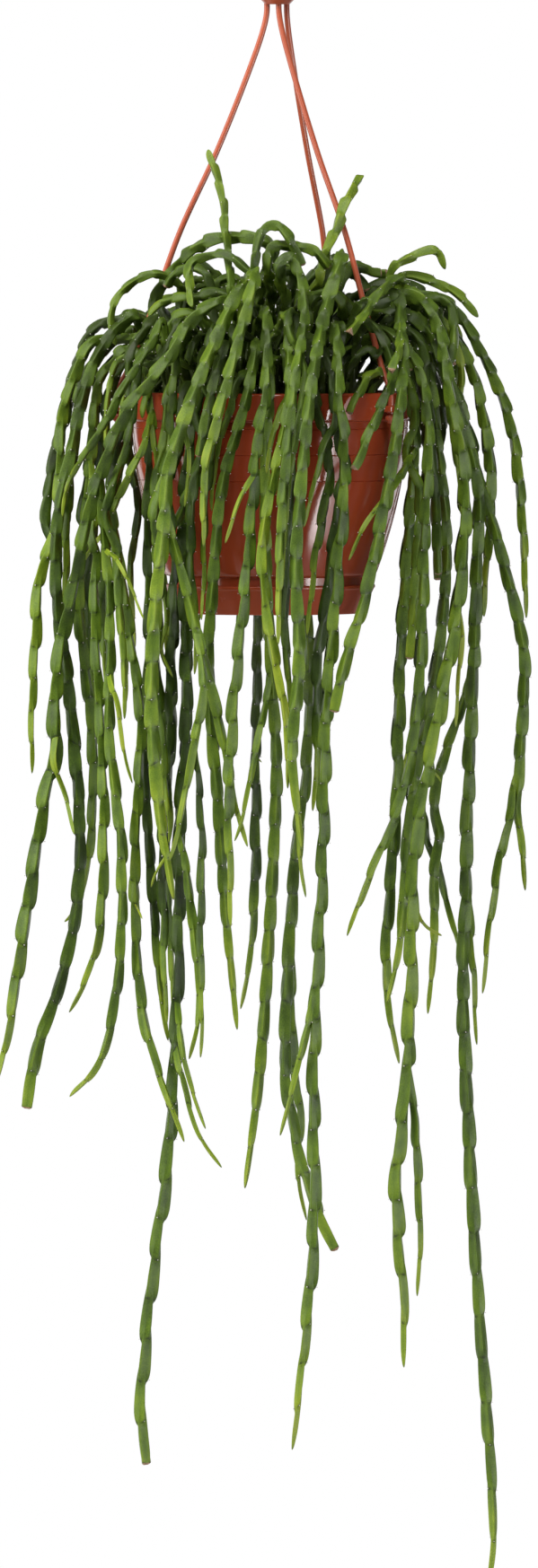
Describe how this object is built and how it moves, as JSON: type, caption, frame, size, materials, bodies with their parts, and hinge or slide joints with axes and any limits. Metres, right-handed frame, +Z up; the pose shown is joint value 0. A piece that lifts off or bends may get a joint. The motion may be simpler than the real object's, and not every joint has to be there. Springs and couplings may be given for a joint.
{
  "type": "mistletoe cactus in a hanging pot",
  "caption": "Chain-jointed mistletoe cactus arching over and trailing from a round plastic hanging pot with a clip-on saucer, thin strands and a hook.",
  "frame": {"origin": "where the hook hangs: the highest point of the hook's inside, over the hub's axis", "axes": "+Z up, the stems trail towards -Z; +X to the right and -Y towards the viewer, seen from the front"},
  "size_m": [0.3346, 0.2633, 1.0418],
  "materials": {
    "pot_plastic": "glossy moulded terracotta-coloured plastic",
    "saucer_plastic": "glossy moulded terracotta-coloured plastic",
    "hanger_plastic": "satin moulded salmon-brown plastic",
    "peat": "dark crumbly peat with fibres",
    "stem_skin": "smooth waxy green skin, yellow-green towards the tips"
  },
  "bodies": {
    "root": {"pot": "pot_plastic", "saucer": "saucer_plastic", "soil": "peat", "hook_and_hub": "hanger_plastic", "strand_left": "hanger_plastic", "strand_front": "hanger_plastic", "strand_back": "hanger_plastic", "stem_crown_upright_left": "stem_skin", "stem_crown_upright_right": "stem_skin", "stem_left_inner": "stem_skin", "stem_crown_arc_outer_left": "stem_skin", "stem_crown_arc_low": "stem_skin", "stem_left_outer": "stem_skin", "stem_left_long": "stem_skin", "stem_left_deep": "stem_skin", "stem_left_middle": "stem_skin", "stem_left_shaded": "stem_skin", "stem_long_dark": "stem_skin", "stem_front_thick": "stem_skin", "stem_front_bright": "stem_skin", "stem_front_short": "stem_skin", "stem_front_middle": "stem_skin", "stem_front_slim": "stem_skin", "stem_centre_shaded": "stem_skin", "stem_front_yellow": "stem_skin", "stem_front_arched": "stem_skin", "stem_front_right": "stem_skin", "stem_front_dark": "stem_skin", "stem_centre_inner": "stem_skin", "stem_centre_deep": "stem_skin", "stem_centre_long": "stem_skin", "stem_right_inner": "stem_skin", "stem_right_short": "stem_skin", "stem_right_second": "stem_skin", "stem_right_third": "stem_skin", "stem_right_fourth": "stem_skin", "stem_right_thick": "stem_skin", "stem_longest": "stem_skin", "stem_right_fifth": "stem_skin", "stem_right_outer": "stem_skin", "stem_right_outermost": "stem_skin", "stem_far_left_outer": "stem_skin", "stem_far_left_long": "stem_skin", "stem_far_left_middle": "stem_skin", "stem_far_front_thick": "stem_skin", "stem_far_front_middle": "stem_skin", "stem_far_front_right": "stem_skin", "stem_far_right_third": "stem_skin", "stem_far_right_thick": "stem_skin", "stem_far_right_fifth": "stem_skin", "stem_far_right_outer": "stem_skin"}
  },
  "joints": []
}
